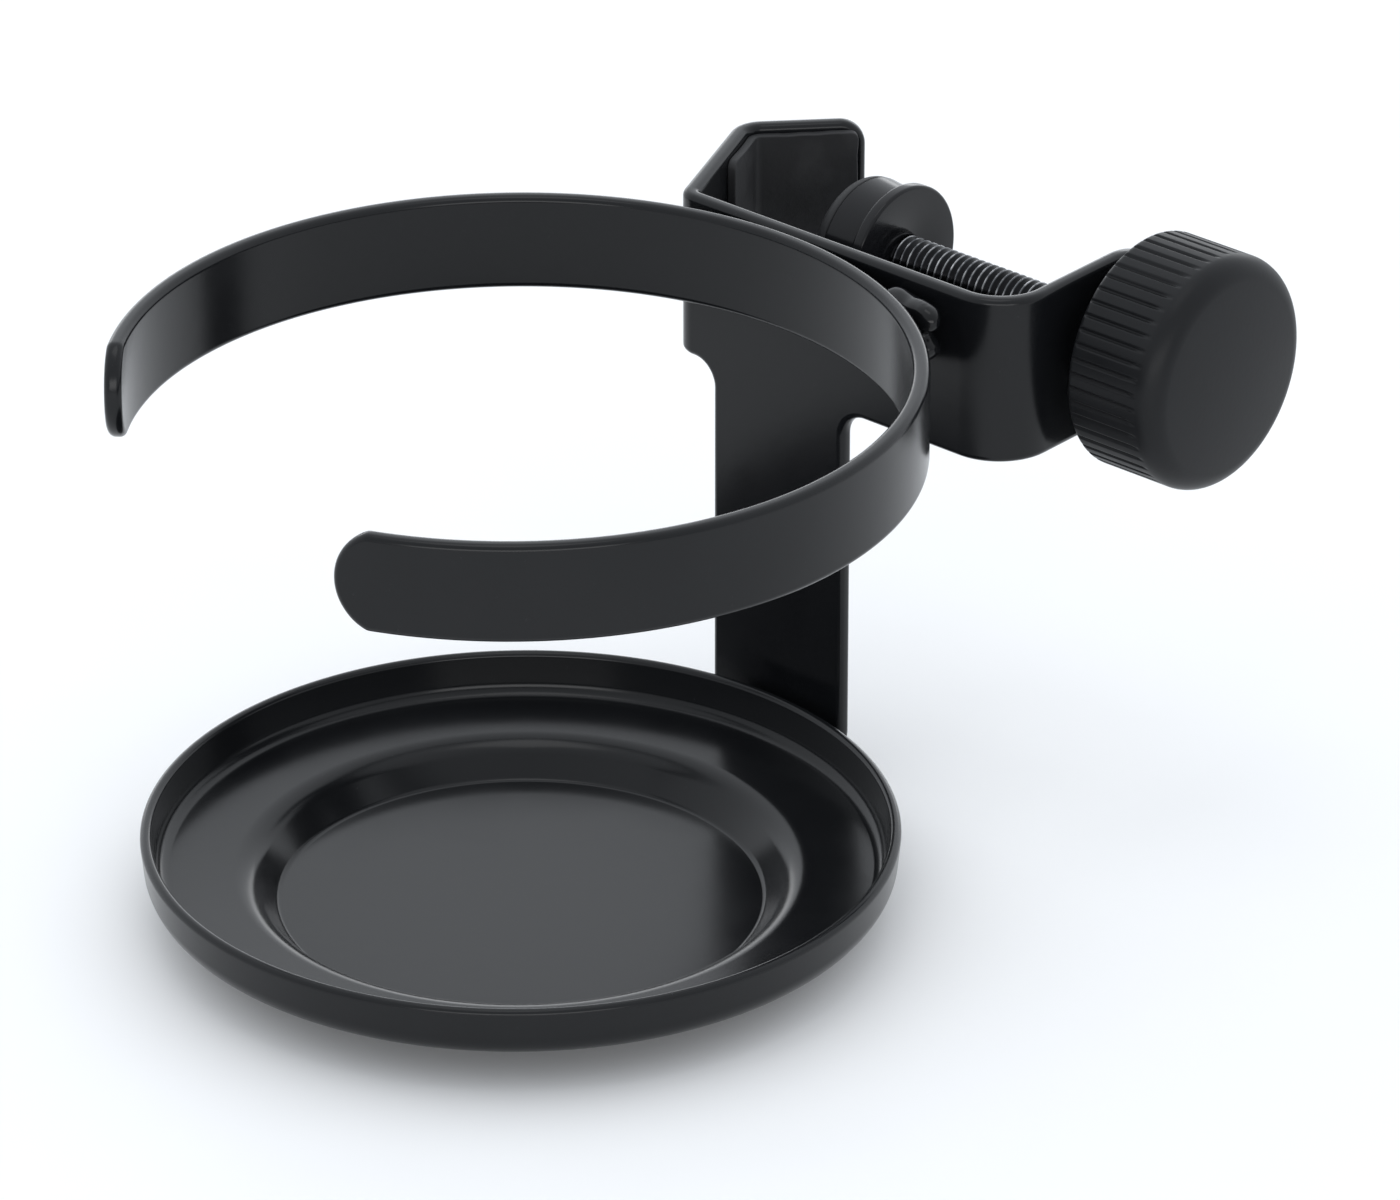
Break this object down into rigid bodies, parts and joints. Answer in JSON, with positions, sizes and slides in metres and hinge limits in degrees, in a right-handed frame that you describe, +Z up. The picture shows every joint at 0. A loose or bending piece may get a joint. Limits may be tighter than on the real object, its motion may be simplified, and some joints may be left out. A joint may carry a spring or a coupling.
{
  "type": "clamp-on cup holder",
  "caption": "Black steel cup holder: an open strip ring over a dished tray, on a bent bracket with a V-jaw tube clamp and a ribbed knob.",
  "frame": {"origin": "centre of the tray's underside, where the holder stands, on the axis of the cup ring", "axes": "+Z up along the cup axis, +Y from the cup towards the clamp, +X along the clamp screw towards the knob"},
  "size_m": [0.0937, 0.121, 0.0712],
  "materials": {
    "powder_coat": "semi-gloss powder coat",
    "black_oxide": "oiled black oxide",
    "spring_steel": "phosphated",
    "knob_plastic": "fine matte",
    "pad_plastic": "satin",
    "liner_rubber": "matte"
  },
  "bodies": {
    "bracket": {"clamp_bracket": "powder_coat", "cup_ring": "powder_coat", "ring_weld": "powder_coat", "cup_tray": "powder_coat", "foot_weld": "powder_coat", "weld_nut": "powder_coat", "nut_weld": "powder_coat", "jaw_liner": "liner_rubber"},
    "pad": {"pad_disc": "pad_plastic", "pad_face": "liner_rubber"},
    "screw": {"clamp_screw": "black_oxide", "clamp_knob": "knob_plastic", "pad_clip": "spring_steel"}
  },
  "joints": [
    {"name": "pad_travel", "type": "slide", "parent": "bracket", "child": "pad", "axis": [1, 0, 0], "range_m": [-0.0002, 0.0289]},
    {"name": "knob_turn", "type": "hinge", "parent": "pad", "child": "screw", "pos_m": [0, 0.0645, 0.0576], "axis": [1, 0, 0], "range_deg": [-72, 10404]}
  ],
  "couplings": [
    {"joint": "pad_travel", "follows": "knob_turn", "m_per_rad": 0.00015915}
  ]
}
